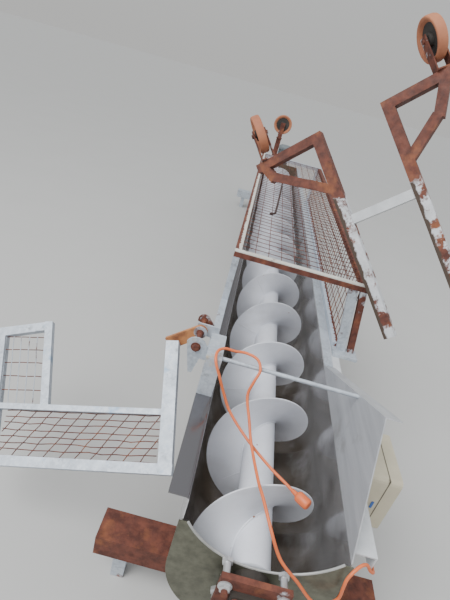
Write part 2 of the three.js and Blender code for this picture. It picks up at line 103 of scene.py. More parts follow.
# Materials
class Shader:
    """A small builder for one procedural material."""

    def __init__(self, name):
        self.mat = bpy.data.materials.new(name)
        self.mat.use_nodes = True
        self.tree = self.mat.node_tree
        self.bsdf = self.tree.nodes["Principled BSDF"]
        self.coords = self.add("ShaderNodeTexCoord").outputs["Object"]

    def add(self, kind, **values):
        node = self.tree.nodes.new(kind)
        for key, value in values.items():
            setattr(node, key, value)
        return node

    def link(self, a, b):
        self.tree.links.new(a, b)

    def stretched(self, scale):
        node = self.add("ShaderNodeMapping")
        node.inputs["Scale"].default_value = scale
        self.link(self.coords, node.inputs["Vector"])
        return node.outputs["Vector"]

    def noise(self, scale, detail=4, rough=0.6, stretch=None):
        """Noise in the machine's own metres, finer with scale and squeezed along each axis by stretch."""
        node = self.add("ShaderNodeTexNoise")
        node.inputs["Scale"].default_value = scale
        node.inputs["Detail"].default_value = detail
        node.inputs["Roughness"].default_value = rough
        self.link(self.stretched(stretch) if stretch else self.coords, node.inputs["Vector"])
        return node.outputs["Fac"]

    def place(self, axis):
        """The machine's own X, Y or Z here, in metres."""
        node = self.add("ShaderNodeSeparateXYZ")
        self.link(self.coords, node.inputs[0])
        return node.outputs[axis]

    def along(self, start, end):
        """How far along the line from start to end this place lies, from 0 to 1."""
        line = end - start
        node = self.add("ShaderNodeVectorMath", operation="DOT_PRODUCT")
        self.link(self.coords, node.inputs[0])
        node.inputs[1].default_value = line / line.length_squared
        return self.both("SUBTRACT", node.outputs["Value"], start.dot(line) / line.length_squared)

    def band(self, value, low, high, out_low=0.0, out_high=1.0):
        """A value from low to high, spread over the output range and held at its ends."""
        node = self.add("ShaderNodeMapRange")
        node.inputs["From Min"].default_value = low
        node.inputs["From Max"].default_value = high
        node.inputs["To Min"].default_value = out_low
        node.inputs["To Max"].default_value = out_high
        self.link(value, node.inputs["Value"])
        return node.outputs["Result"]

    def mix(self, factor, a, b):
        node = self.add("ShaderNodeMix", data_type="RGBA")
        self.link(factor, node.inputs["Factor"])
        for socket, value in ((node.inputs["A"], a), (node.inputs["B"], b)):
            if isinstance(value, tuple):
                socket.default_value = (*value, 1)
            else:
                self.link(value, socket)
        return node.outputs["Result"]

    def both(self, kind, a, b):
        """A sum or product of a value with another value or a number."""
        node = self.add("ShaderNodeMath", operation=kind)
        self.link(a, node.inputs[0])
        if isinstance(b, (int, float)):
            node.inputs[1].default_value = b
        else:
            self.link(b, node.inputs[1])
        return node.outputs[0]

    def bump(self, height, strength, distance=0.001):
        node = self.add("ShaderNodeBump")
        node.inputs["Strength"].default_value = strength
        node.inputs["Distance"].default_value = distance
        self.link(height, node.inputs["Height"])
        self.link(node.outputs["Normal"], self.bsdf.inputs["Normal"])

    def colour(self, value):
        self.link(value, self.bsdf.inputs["Base Color"])

    def rough(self, value):
        self.link(value, self.bsdf.inputs["Roughness"])

    def metal(self, value):
        if isinstance(value, float):
            self.bsdf.inputs["Metallic"].default_value = value
        else:
            self.link(value, self.bsdf.inputs["Metallic"])


RUST_DARK = (0.075, 0.024, 0.017)
RUST_MID = (0.175, 0.055, 0.034)
RUST_ORANGE = (0.33, 0.115, 0.045)
ZINC_LIGHT = (0.56, 0.62, 0.69)
ZINC_DARK = (0.36, 0.40, 0.45)


def rust_colour(s):
    """Dark and red-brown rust, with orange blooms."""
    base = s.mix(s.band(s.noise(38, 6), 0.35, 0.68), RUST_DARK, RUST_MID)
    return s.mix(s.band(s.noise(11, 5), 0.54, 0.78), base, RUST_ORANGE)


def rusty(name, zinc_from=0.66, zinc_to=0.72, bloom=None):
    """Red-brown rust, with what is left of the zinc in patches; bloom is a fresher colour over it."""
    s = Shader(name)
    left = s.band(s.noise(9, 5, 0.65), zinc_from, zinc_to)
    zinc = s.mix(s.noise(60, 3), ZINC_DARK, (0.62, 0.64, 0.66))
    rust = rust_colour(s)
    if bloom:
        rust = s.mix(s.band(s.noise(17, 5), 0.36, 0.6), rust, bloom)
    s.colour(s.mix(left, rust, zinc))
    s.rough(s.band(s.noise(50), 0.2, 0.8, 0.95, 0.7))
    s.bump(s.noise(220, 6, 0.7), 0.5, 0.0012)
    return s.mat


def galvanised(name, rust_from=0.66, rust_to=0.74, smear=None):
    """Weathered zinc with a faint spangle, chalky runs and rust breaking through."""
    s = Shader(name)
    spangle = s.add("ShaderNodeTexVoronoi")
    spangle.inputs["Scale"].default_value = 130
    s.link(s.coords, spangle.inputs["Vector"])
    zinc = s.mix(s.band(s.noise(14, 5), 0.3, 0.7), ZINC_DARK, ZINC_LIGHT)
    zinc = s.mix(s.band(spangle.outputs["Color"], 0.2, 1.6), zinc, (0.66, 0.70, 0.75))
    zinc = s.mix(s.band(s.noise(26, 6, 0.7), 0.6, 0.8), zinc, (0.16, 0.17, 0.17))
    if smear:
        zinc = s.mix(s.band(s.noise(10, 4, 0.7, (1, 1, 0.5)), 0.56, 0.72), zinc, smear)
    rust = s.band(s.noise(8, 7, 0.72), rust_from, rust_to)
    s.colour(s.mix(rust, zinc, rust_colour(s)))
    s.metal(s.band(rust, 0, 1, 0.35, 0.0))
    s.rough(s.band(s.noise(30), 0.2, 0.8, 0.42, 0.68))
    s.bump(s.noise(170, 5), 0.22, 0.0008)
    return s.mat


def faced(name, axis, edge, face, side=1, ragged=0.0, rust_from=0.62):
    """Rust, with the part beyond an edge (or short of it, for side -1) still in pale zinc."""
    s = Shader(name)
    place = s.place(axis)
    if ragged:
        place = s.both("ADD", place, s.band(s.noise(60, 4), 0.3, 0.7, -ragged, ragged))
    front = s.band(place, edge - side * 0.001, edge + side * 0.001)
    worn = s.band(s.noise(16, 6, 0.7), rust_from, rust_from + 0.08, 1, 0)
    pale = s.mix(s.band(s.noise(22, 4), 0.3, 0.7), face, tuple(v * 0.82 for v in face))
    s.colour(s.mix(s.both("MULTIPLY", front, worn), rust_colour(s), pale))
    s.rough(s.band(s.noise(40), 0.2, 0.8, 0.8, 0.6))
    s.bump(s.noise(200, 5), 0.3, 0.001)
    return s.mat


def half_rusted(name, start, end, turn, pale, side, width=0.008):
    """A leg that is rusty up to a turn on its line, pale with rust patches beyond it, and dark brown down one
    side of the pale stretch, which is painted shade for its shadowed side.
    """
    s = Shader(name)
    edge = s.both("ADD", s.along(start, end), s.band(s.noise(26, 5), 0.3, 0.7, -0.03, 0.03))
    beyond = s.band(edge, turn - width, turn + width)
    clean = s.band(s.noise(13, 6, 0.7), 0.51, 0.58, 1, 0)
    zinc = s.mix(s.band(s.noise(24, 4), 0.3, 0.7), pale, tuple(v * 0.7 for v in pale))
    body = s.mix(s.both("MULTIPLY", beyond, clean), rust_colour(s), zinc)
    # Painted shade: towards the first of the two side points the pale stretch turns dark brown, for the side
    # of the leg in shadow.
    across = s.both("ADD", s.along(*side), s.band(s.noise(30, 4), 0.3, 0.7, -0.12, 0.12))
    shade = s.both("MULTIPLY", s.band(across, 0.24, 0.34, 1, 0), beyond)
    s.colour(s.mix(shade, body, (0.060, 0.040, 0.028)))
    s.rough(s.band(s.noise(40), 0.2, 0.8, 0.85, 0.6))
    s.bump(s.noise(190, 5), 0.35, 0.001)
    return s.mat


SCRATCHES = (0.72, 0.73, 0.76)
LIP_GREY = (0.19, 0.185, 0.195)


def lining(s, base, bottom_shade):
    """The trough's colouring: brown painted shade towards the bottom, under the screw, bright scratches on
    the near walls and a grey left lip.
    """
    height = s.place("Z")
    # Painted shade: the sheet turns brown towards the bottom of the trough, where the screw shades it.
    shade_level = s.both("ADD", height, s.band(s.noise(9, 4), 0.25, 0.75, -0.05, 0.05))
    base = s.mix(s.band(shade_level, ORIGIN.z - 0.13, ORIGIN.z - 0.02, 1, 0), base, bottom_shade)
    near = s.band(s.place("Y"), ORIGIN.y + 0.05, ORIGIN.y + 0.5, 1, 0.25)
    wall = s.band(height, ORIGIN.z - 0.11, ORIGIN.z - 0.03)
    lines = s.band(s.noise(16, 3, 0.6, (0.5, 9, 0.5)), 0.56, 0.66)
    lines = s.both("MULTIPLY", s.both("MULTIPLY", lines, near), wall)
    base = s.mix(lines, base, SCRATCHES)
    lip = s.band(height, ORIGIN.z + 0.214, ORIGIN.z + 0.218)
    return s.mix(lip, base, LIP_GREY)


def stainless(name, dark, light, low=0.24, high=0.42, metal=0.5, stain=(0.20, 0.18, 0.16), bottom_shade=None):
    """Sheet with long streaks, stains and fine brushing. With a painted shade colour for the bottom it is
    used as the trough's lining.
    """
    s = Shader(name)
    streaks = s.noise(5, 6, 0.6, (7, 0.6, 7))
    base = s.mix(s.band(streaks, 0.3, 0.7), dark, light)
    base = s.mix(s.band(s.noise(7, 5, 0.65), 0.58, 0.74), base, stain)
    s.colour(lining(s, base, bottom_shade) if bottom_shade else base)
    s.metal(metal)
    s.rough(s.band(s.noise(24, 5, 0.7, (1, 0.15, 1)), 0.2, 0.8, low, high))
    s.bump(s.noise(140, 3, 0.5, (1, 0.05, 1)), 0.06, 0.0005)
    return s.mat


def white_paint():
    """Chalky pale paint over the steel, greyer in the grain, with pinholes of rust."""
    s = Shader("screw paint")
    base = s.mix(s.band(s.noise(6, 5), 0.3, 0.72), (0.66, 0.68, 0.74), (0.82, 0.84, 0.90))
    base = s.mix(s.band(s.noise(3.5, 3, 0.5, (1, 1, 3)), 0.58, 0.8), base, (0.58, 0.58, 0.61))
    spots = s.band(s.noise(46, 2, 0.4), 0.765, 0.785)
    s.colour(s.mix(spots, base, (0.30, 0.13, 0.07)))
    s.metal(0.0)
    s.rough(s.band(s.noise(40), 0.2, 0.8, 0.5, 0.72))
    s.bump(s.noise(90, 4), 0.12, 0.0007)
    return s.mat


def plain(name, colour, shade, roughness, grain=60, strength=0.15, metal=0.0):
    """Moulded or painted stuff: two close colours, uneven gloss and a fine grain."""
    s = Shader(name)
    s.colour(s.mix(s.band(s.noise(12, 5), 0.3, 0.72), shade, colour))
    s.metal(metal)
    s.rough(s.band(s.noise(25), 0.2, 0.8, roughness - 0.08, roughness + 0.12))
    s.bump(s.noise(grain, 4), strength, 0.0006)
    return s.mat


# Colours, each as red, green and blue, and the materials that are made with them
CREAM = (0.70, 0.69, 0.63)
WHITE = (0.68, 0.70, 0.73)
PALE_BLUE = (0.50, 0.57, 0.66)
FRESH_RUST = (0.50, 0.21, 0.08)
BLUE_SMEAR = (0.24, 0.36, 0.50)
OCHRE_SMEAR = (0.50, 0.37, 0.15)
TROUGH_STAIN = (0.38, 0.37, 0.37)
WING_STAIN = (0.36, 0.36, 0.36)
PLATE_STAIN = (0.10, 0.095, 0.07)
# Painted shade for the bottom of the trough
PAINTED_BOTTOM_SHADE = (0.20, 0.17, 0.14)

RUST = rusty("rust")
DARK_RUST = plain("dark rust", (0.06, 0.025, 0.02), (0.03, 0.016, 0.014), 0.7, 160, 0.4)
RUST_PATCHY = rusty("rust over zinc", 0.52, 0.58)
RUST_BRIGHT = rusty("fresh rust", 0.70, 0.76, FRESH_RUST)
WIRE = rusty("wire", 0.74, 0.80)
ZINC = galvanised("zinc")
ZINC_WORN = galvanised("worn zinc", 0.56, 0.63)
LID_ZINC = galvanised("lid zinc", 0.70, 0.76, BLUE_SMEAR)
POST_ZINC = galvanised("post zinc", 0.64, 0.70, OCHRE_SMEAR)
WHITE_ZINC = plain("whitish zinc", (0.66, 0.68, 0.70), (0.50, 0.52, 0.54), 0.5, 120, 0.2)
BRIGHT = plain("bright zinc", (0.72, 0.73, 0.74), (0.55, 0.56, 0.57), 0.32, 120, 0.1, 0.7)
BRIGHT_EDGE = plain("bright edge", (0.52, 0.53, 0.52), (0.34, 0.34, 0.32), 0.45, 120, 0.1, 0.4)
SHEET = stainless("trough sheet", (0.58, 0.58, 0.59), (0.76, 0.76, 0.78), 0.12, 0.22, 0.8,
                  TROUGH_STAIN, PAINTED_BOTTOM_SHADE)
WING_SHEET = stainless("wing sheet", (0.46, 0.475, 0.50), (0.60, 0.615, 0.64), 0.34, 0.5, 0.45, WING_STAIN)
PLATE_SHEET = stainless("end sheet", (0.085, 0.085, 0.062), (0.17, 0.17, 0.125), 0.28, 0.45, 0.55,
                        PLATE_STAIN)
PAINT = white_paint()
TREAD = plain("tread", (0.50, 0.20, 0.10), (0.36, 0.13, 0.07), 0.7, 90, 0.3)
HUB = plain("hub", (0.05, 0.045, 0.04), (0.025, 0.022, 0.02), 0.7, 70, 0.3)
BEIGE = plain("beige", (0.62, 0.57, 0.43), (0.52, 0.47, 0.35), 0.5)
# The cover seam's dark colour: partly the seam, partly painted shadow along it
SEAM_AND_SHADE = plain("seam", (0.16, 0.14, 0.10), (0.10, 0.09, 0.07), 0.6)
BLUE = plain("blue", (0.05, 0.16, 0.50), (0.04, 0.12, 0.40), 0.5)
ORANGE = plain("lead sheath", (0.80, 0.19, 0.06), (0.66, 0.14, 0.045), 0.45, 120, 0.1)
IRON = plain("greasy iron", (0.075, 0.065, 0.055), (0.035, 0.03, 0.028), 0.5, 80, 0.5, 0.4)
MACHINE_GREY = plain("drive paint", (0.20, 0.23, 0.25), (0.14, 0.16, 0.17), 0.45)

NEAR_RAIL_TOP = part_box("guard_near_rail")[1][2] - 0.004
LOWER_RAIL_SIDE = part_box("guard_lower_rail")[1][0] - 0.010
RAIL_TOP = faced("near rail", "Z", NEAR_RAIL_TOP, CREAM)
LEFT_RAIL = faced("left rail", "X", middle("guard_left_rail", 0), CREAM, ragged=0.004, rust_from=0.60)
LOWER_RAIL = faced("lower rail", "X", LOWER_RAIL_SIDE, PALE_BLUE, -1, 0.006)

# The castor frame's plane: a low corner, the way up its legs and the way across to the right leg
FRAME_LOW = at(289.7, 880.2, 474)
FRAME_UP = Vector((-0.563, 0.435, 0.70)).normalized()
FRAME_HIGH = FRAME_LOW + FRAME_UP
TO_RIGHT_LEG = Vector((0.749, -0.268, 0.6085))
ACROSS = (TO_RIGHT_LEG - FRAME_UP * TO_RIGHT_LEG.dot(FRAME_UP)).normalized()
LEG_HALF = 20


def leg_paint(name, turn, offset):
    """Paint for a leg whose middle lies at an offset across the frame, with painted shade down its left side;
    turn is where its rust ends.
    """
    left, right = (FRAME_LOW + ACROSS * (offset + d) * MM for d in (-LEG_HALF, LEG_HALF))
    return half_rusted(name, FRAME_HIGH, FRAME_LOW, turn, WHITE, (left, right))


CASTOR_LEFT = leg_paint("left castor leg", 0.645, -12)
CASTOR_RIGHT = leg_paint("right castor leg", 0.69, 250)


# Making meshes
SHARP = math.radians(38)


def piece(name, vertices, faces, material, body="machine", smooth=False):
    """One object of the scene, with its faces turned outward, riding on a body."""
    mesh = bpy.data.meshes.new(name)
    mesh.from_pydata([tuple(v) for v in vertices], [], faces)
    bm = bmesh.new()
    bm.from_mesh(mesh)
    bmesh.ops.recalc_face_normals(bm, faces=bm.faces)
    bm.to_mesh(mesh)
    bm.free()
    mesh.materials.append(material)
    obj = bpy.data.objects.new(name, mesh)
    bpy.context.collection.objects.link(obj)
    if smooth:
        mesh.shade_smooth()
        mesh.set_sharp_from_angle(angle=SHARP)
    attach(obj, body)
    return obj


def skin(rings, n):
    """The faces of a solid of n-sided rings: two end caps and the quads between them."""
    faces = []
    for i in range(rings - 1):
        for k in range(n):
            j = (k + 1) % n
            faces.append((i * n + k, i * n + j, (i + 1) * n + j, (i + 1) * n + k))
    near = tuple(range(n - 1, -1, -1))
    far = tuple((rings - 1) * n + k for k in range(n))
    return [near] + faces + [far]


class Soup:
    """Gathers many small closed solids into one mesh."""

    def __init__(self):
        self.vertices = []
        self.faces = []

    def add(self, vertices, faces):
        n = len(self.vertices)
        self.vertices += vertices
        self.faces += [tuple(i + n for i in f) for f in faces]

    def tube(self, points, radius, sides=6):
        """A round bar along the points; these and the radius are in metres."""
        vertices = []
        for p, u, v in tube_frames(points):
            for k in range(sides):
                a = 2 * math.pi * k / sides
                vertices.append(p + (u * math.cos(a) + v * math.sin(a)) * radius)
        self.add(vertices, skin(len(points), sides))

    def spin(self, centre, axis, profile, sides=24):
        """A turned solid: profile lists (distance along axis, radius) in millimetres from end to end."""
        axis = axis.normalized()
        u = axis.orthogonal().normalized()
        v = axis.cross(u)
        vertices = []
        for along, radius in profile:
            for k in range(sides):
                a = 2 * math.pi * k / sides
                ring = (u * math.cos(a) + v * math.sin(a)) * radius * MM
                vertices.append(centre + axis * along * MM + ring)
        self.add(vertices, skin(len(profile), sides))

    def done(self, name, material, body="machine", smooth=True, slot=None):
        return piece(name, self.vertices, self.faces, material, body, smooth)


def tube_frames(points):
    """Each point with two directions across the line, carried along without twist."""
    frames = []
    u = None
    for i, p in enumerate(points):
        t = (points[min(i + 1, len(points) - 1)] - points[max(i - 1, 0)]).normalized()
        u = t.orthogonal().normalized() if u is None else (u - t * u.dot(t)).normalized()
        frames.append((p, u, t.cross(u)))
    return frames


def arc(cx, cy, r, start, end, steps):
    """Points on a circle from a start to an end angle, in degrees."""
    out = []
    for i in range(steps + 1):
        a = math.radians(start + (end - start) * i / steps)
        out.append((cx + r * math.cos(a), cy + r * math.sin(a)))
    return out


def with_hole(name, shape, hole, y0, y1, material, body="machine"):
    """A flat plate in X and Z with one round hole, filled between its two outlines."""
    bm = bmesh.new()
    edges = []
    for loop in (shape, hole):
        ring = [bm.verts.new(at(x, y0, z)) for x, z in loop]
        edges += [bm.edges.new((ring[i], ring[(i + 1) % len(ring)])) for i in range(len(ring))]
    bmesh.ops.triangle_fill(bm, edges=edges, use_beauty=True)
    geometry = bm.faces[:]
    raised = bmesh.ops.extrude_face_region(bm, geom=geometry)["geom"]
    depth = Vector((0, (y1 - y0) * MM, 0))
    bmesh.ops.translate(bm, verts=[g for g in raised if isinstance(g, bmesh.types.BMVert)], vec=depth)
    bm.verts.index_update()
    vertices = [v.co.copy() for v in bm.verts]
    faces = [tuple(v.index for v in f.verts) for f in bm.faces]
    bm.free()
    return piece(name, vertices, faces, material, body)


def box_between(soup, low, high):
    """A box from its lowest to its highest corner, in millimetres."""
    corners = [at(x, y, z) for x in (low[0], high[0]) for y in (low[1], high[1]) for z in (low[2], high[2])]
    soup.add(corners, [(0, 1, 3, 2), (4, 6, 7, 5), (0, 4, 5, 1), (2, 3, 7, 6), (0, 2, 6, 4), (1, 5, 7, 3)])


def bolt(soup, centre, axis, size):
    """A hexagon head on a washer; size is the bolt's diameter in millimetres."""
    washer, washer_r = size * 0.18, size * 1.05
    head, top = size * 0.65, size * 0.77
    head_r, top_r = size * 0.88, size * 0.7
    soup.spin(centre, axis, [(0, washer_r), (washer, washer_r)], 20)
    soup.spin(centre, axis, [(washer, head_r), (head, head_r), (top, top_r)], 6)


# CAD nodes that stay: material, and how far their edges are rounded, in millimetres
TUBE_EDGE = 2.5
PLATE_EDGE = 0.8
EDGE_ANGLE = math.radians(40)
KEEP = {
    "guard_near_rail": (RAIL_TOP, TUBE_EDGE),
    "guard_right_rail": (RUST, TUBE_EDGE),
    "guard_left_rail": (LEFT_RAIL, TUBE_EDGE),
    "guard_far_rail": (ZINC, TUBE_EDGE),
    "guard_lower_rail": (LOWER_RAIL, TUBE_EDGE),
    "guard_near_left_leg": (ZINC_WORN, TUBE_EDGE),
    "guard_far_left_leg": (ZINC, TUBE_EDGE),
    "guard_far_right_leg": (ZINC, TUBE_EDGE),
    "guard_foot_plate": (ZINC_WORN, 1.0),
    "guard_near_right_leg": (RUST_PATCHY, TUBE_EDGE),
    "guard_near_right_stay": (ZINC_WORN, 1.5),
    "left_rail": (ZINC_WORN, 1.5),
    "right_rail": (WHITE_ZINC, PLATE_EDGE),
    "right_flange": (ZINC, 0.5),
    "right_wing": (WING_SHEET, 0.6),
    "lid_post": (POST_ZINC, 1.2),
    "lid_hinge_tab": (ZINC, PLATE_EDGE),
    "lid_hinge_lug": (RUST_PATCHY, PLATE_EDGE),
    "lid_hinge_pin": (RUST, 1.0),
    "lid_arm": (RUST_BRIGHT, 1.0),
    "lid_frame": (LID_ZINC, TUBE_EDGE),
    "near_cross_beam": (RUST, 1.0),
    "far_cross_beam": (ZINC, 1.0),
    "near_left_leg": (ZINC_WORN, TUBE_EDGE),
    "near_right_leg": (ZINC_WORN, TUBE_EDGE),
    "far_left_leg": (ZINC, TUBE_EDGE),
    "far_right_leg": (ZINC, TUBE_EDGE),
    "castor_left_leg": (CASTOR_LEFT, TUBE_EDGE),
    "castor_right_leg": (CASTOR_RIGHT, TUBE_EDGE),
    "castor_crossbar": (WHITE_ZINC, TUBE_EDGE),
    "left_castor_fork": (RUST_PATCHY, PLATE_EDGE),
    "right_castor_fork": (RUST_PATCHY, PLATE_EDGE),
    "far_castor_fork": (RUST, PLATE_EDGE),
    "far_castor_post": (RUST, TUBE_EDGE),
    "near_bearing_plate": (RUST, 1.0),
    "near_seal_housing": (IRON, 2.0),
    "near_bearing": (IRON, 2.0),
    "gearbox": (MACHINE_GREY, 5.0),
    "far_end_plate": (PLATE_SHEET, 0.5),
    "enclosure_base": (BEIGE, 3.0),
    "enclosure_lid": (BEIGE, 5.0),
    "lead_gland": (HUB, 1.0),
}


def dress():
    """Gives each kept node its material and soft edges."""
    for name, (material, radius) in KEEP.items():
        obj = frame["nodes"][name]
        obj.data.materials.clear()
        obj.data.materials.append(material)
        bevel = obj.modifiers.new("edges", "BEVEL")
        bevel.width = radius * MM
        bevel.segments = 2
        bevel.limit_method = "ANGLE"
        bevel.angle_limit = EDGE_ANGLE


dress()


# Trough
HALF = 196
SHEET_T = 3
OUTER = HALF + SHEET_T
LENGTH = 5000
LEFT_TOP = 222
RIGHT_TOP = 153
LEFT_EDGE = -245
BEND = 5
PLATE_FRONT = -4.3
PLATE_REAR = -0.3
BEAD_R = 3


def trough():
    """One folded sheet: left lip, left wall, round bottom and right wall."""
    bend_x, bend_z = -OUTER - BEND, LEFT_TOP - SHEET_T - BEND
    section = [(LEFT_EDGE, LEFT_TOP), (LEFT_EDGE, LEFT_TOP - SHEET_T)]
    section += arc(bend_x, bend_z, BEND, 90, 0, 4)
    section += arc(0, 0, OUTER, 180, 360, 56)
    section += [(OUTER, RIGHT_TOP), (HALF, RIGHT_TOP)]
    section += arc(0, 0, HALF, 360, 180, 56)
    section += arc(bend_x, bend_z, BEND + SHEET_T, 0, 90, 4)
    steps = 16
    vertices = [at(x, LENGTH * i / steps, z) for i in range(steps + 1) for x, z in section]
    shell = piece("trough", vertices, skin(steps + 1, len(section)), SHEET, smooth=True)
    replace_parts(shell, "trough_shell", "trough_far_shell")


def end_plate():
    """The near plate with its scooped rim, and the bright bead along the rim."""
    r = OUTER + 6
    shoulder = 145
    scoop_r = 220
    scoop_z = 270
    bore_r = 32
    rim = math.degrees(math.acos(math.sqrt(scoop_r ** 2 - (scoop_z - shoulder) ** 2) / scoop_r))
    shape = arc(0, 0, r, 180, 360, 48) + [(r, shoulder)]
    shape += arc(0, scoop_z, scoop_r, -rim, -180 + rim, 28) + [(-r, shoulder)]
    bore = arc(0, 0, bore_r, 0, 360, 32)[:-1]
    plate = with_hole("near_end_sheet", shape, bore, PLATE_FRONT, PLATE_REAR, PLATE_SHEET)
    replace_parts(plate, "near_end_plate")
    middle_y = (PLATE_FRONT + PLATE_REAR) / 2
    line = arc(0, scoop_z - 1, scoop_r, -rim + 1, -180 + rim - 1, 28)
    bead = Soup()
    bead.tube([at(x, middle_y, z) for x, z in line], BEAD_R * MM, 8)
    bead.done("end_plate_bead", BRIGHT_EDGE, slot="stainless")


trough()
end_plate()


# Screw
TUBE_R = 50.8
FLIGHT_R = 165
PITCH = 345
ZERO_Y = 215 + PITCH * 21.8 / 360
FLIGHT_START = 20
FLIGHT_END = 4972
FLIGHT_T = 5
EDGE = 1.5
PER_TURN = 72
WELD_R = 3.2
# Seams across the flight: their angles on the helix, in degrees, which fall towards the far end
SEAM_FIRST = -132
SEAM_LAST = -5100
SEAM_STEP = -393
SEAM_R = 1.6
SEAM_DISTANCES = range(0, 113, 7)
SHAFT_R = 25
SHAFT_NEAR = -118
SHAFT_FAR = 5120
TUBE_NEAR = 8
TUBE_FAR = 4992
CHAMFER = 2
TUBE_END_R = 48


def helix(step):
    """The flight's angle and its place along the shaft after a number of steps."""
    return -2 * math.pi * step / PER_TURN, ZERO_Y + PITCH * step / PER_TURN


def flight(first, last):
    """The flight as one ribbon, slightly dished here and there."""
    inner, low_mid, high_mid = TUBE_R - 0.6, TUBE_R + 28, TUBE_R + 70
    rim = [(inner, 0), (low_mid, -0.1), (high_mid, 0.1), (FLIGHT_R - EDGE, 0), (FLIGHT_R, EDGE),
           (FLIGHT_R, FLIGHT_T - EDGE), (FLIGHT_R - EDGE, FLIGHT_T), (high_mid, FLIGHT_T - 0.1),
           (low_mid, FLIGHT_T + 0.1), (inner, FLIGHT_T)]
    vertices = []
    for k in range(first, last + 1):
        a, y = helix(k)
        wave = 1.6 * math.sin(a * 3.1) + 1.1 * math.sin(a * 1.37 + 1)
        for r, dy in rim:
            dish = wave * ((r - TUBE_R) / (FLIGHT_R - TUBE_R)) ** 2
            vertices.append(at(r * math.cos(a), y + dy - FLIGHT_T / 2 + dish, r * math.sin(a)))
    faces = skin(last - first + 1, len(rim))
    ribbon = piece("screw_flight", vertices, faces, PAINT, "auger", True)
    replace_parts(ribbon, "auger_flight", "auger_flight_far")


def shaft():
    """The tube with its two stub shafts."""
    profile = [(SHAFT_NEAR, SHAFT_R - CHAMFER), (SHAFT_NEAR + CHAMFER, SHAFT_R), (TUBE_NEAR, SHAFT_R),
               (TUBE_NEAR, TUBE_END_R), (TUBE_NEAR + CHAMFER, TUBE_R), (TUBE_FAR - CHAMFER, TUBE_R),
               (TUBE_FAR, TUBE_END_R), (TUBE_FAR, SHAFT_R), (SHAFT_FAR, SHAFT_R)]
    core = Soup()
    core.spin(at(0, 0, 0), Y, profile, 64)
    tube = core.done("screw_tube", PAINT, "auger", slot="white_paint")
    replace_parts(tube, "auger_tube")


def welds(first, last):
    """Uneven beads where the flight meets the tube, and the seams that join its turns."""
    beads = Soup()
    for lift in (-FLIGHT_T / 2 - 1, FLIGHT_T / 2 + 1):
        points = []
        for k in range(first + 1, last):
            for part in (0, 0.5):
                a, y = helix(k + part)
                r = TUBE_R + 1.0 + 0.5 * rng.random()
                points.append(at(r * math.cos(a), y + lift, r * math.sin(a)))
        beads.tube(points, WELD_R * MM, 6)
    for angle in range(SEAM_FIRST, SEAM_LAST, SEAM_STEP):
        a, y = helix(-angle * PER_TURN / 360)
        if FLIGHT_START < y < FLIGHT_END:
            direction = Vector((math.cos(a), 0, math.sin(a)))
            for lift in (-FLIGHT_T / 2, FLIGHT_T / 2):
                points = [at(0, y + lift, 0) + direction * (TUBE_R + d) * MM for d in SEAM_DISTANCES]
                beads.tube(points, SEAM_R * MM, 6)
    beads.done("screw_welds", PAINT, "auger", slot="white_paint")


def screw():
    first = math.ceil((FLIGHT_START - ZERO_Y) / PITCH * PER_TURN)
    last = math.floor((FLIGHT_END - ZERO_Y) / PITCH * PER_TURN)
    flight(first, last)
    shaft()
    welds(first, last)


screw()


# Mesh panels of round wire
WIRE_R = 1.5
OPENING = 50
MIN_CUTS = 6
COLUMN_CUT = 25
ROW_CUT = 40
GUARD_Y = 936.5
GUARD_RUN = 2438
# Each side of the guard: name, CAD node, corner, two directions, size, material, sag and unevenness
GUARD_PANELS = (
    ("guard_roof_wires", "guard_top_mesh", (-222.5, GUARD_Y, 453), X, Y, (474, GUARD_RUN), WIRE, 3, 0.6),
    ("guard_right_wires", "guard_right_mesh", (256, GUARD_Y, 178.8), Y, Z, (GUARD_RUN, 254), RUST, 4, 3.5),
    ("guard_left_wires", "guard_left_mesh", (-236, GUARD_Y, 247.5), Y, Z, (GUARD_RUN, 185), WIRE, 3, 1.0),
)


def wobble(amount):
    """A random distance of up to the amount either way."""
    return (rng.random() - 0.5) * 2 * amount


def wire_panel(columns, rows, corner, u, v, size, steps, sag=0.0, bent=0.6, lean=0.0, skew=0.0):
    """Crossed wires in the plane of u and v; the rows lie on the columns. Lean slants the columns alone."""
    width, height = size
    normal = u.cross(v).normalized()

    def surface(a, b):
        dip = sag * 4 * (a / width) * (1 - a / width)
        return corner + (u * (a + skew * b) + v * b - normal * dip) * MM

    count = round(width / steps[0])
    reach = int(abs(lean) * height / steps[0]) + 1 if lean else 0
    cuts = max(MIN_CUTS, int(height / COLUMN_CUT))
    for i in range(-reach, count + reach + 1):
        points = []
        for k in range(cuts + 1):
            b = height * k / cuts
            a = width * i / count - lean * (b - height / 2) + wobble(bent)
            if -bent <= a <= width + bent:
                points.append(surface(a, b))
        if len(points) > 1:
            columns.tube(points, WIRE_R * MM)
    count = round(height / steps[1])
    cuts = max(MIN_CUTS, int(width / ROW_CUT))
    for j in range(count + 1):
        points = []
        for k in range(cuts + 1):
            b = min(max(height * j / count + wobble(bent), 0), height)
            points.append(surface(width * k / cuts, b) + normal * 2 * WIRE_R * MM)
        rows.tube(points, WIRE_R * MM)


def guard_mesh():
    for name, node, corner, u, v, size, material, sag, bent in GUARD_PANELS:
        wires = Soup()
        wire_panel(wires, wires, at(*corner), u, v, size, (OPENING, OPENING), sag, bent)
        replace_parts(wires.done(name, material, slot="rusty_steel"), node)


guard_mesh()


# Lid wires, in the lid's own plane, and the plate on its arm
LID_OPEN = math.radians(197)
LID_SLOPE = math.radians(36)
LID_SKEW = 0.205
LID_PIVOT = (-284, 0, 270)
LID_CORNER = Vector((46, 235, 267.2))
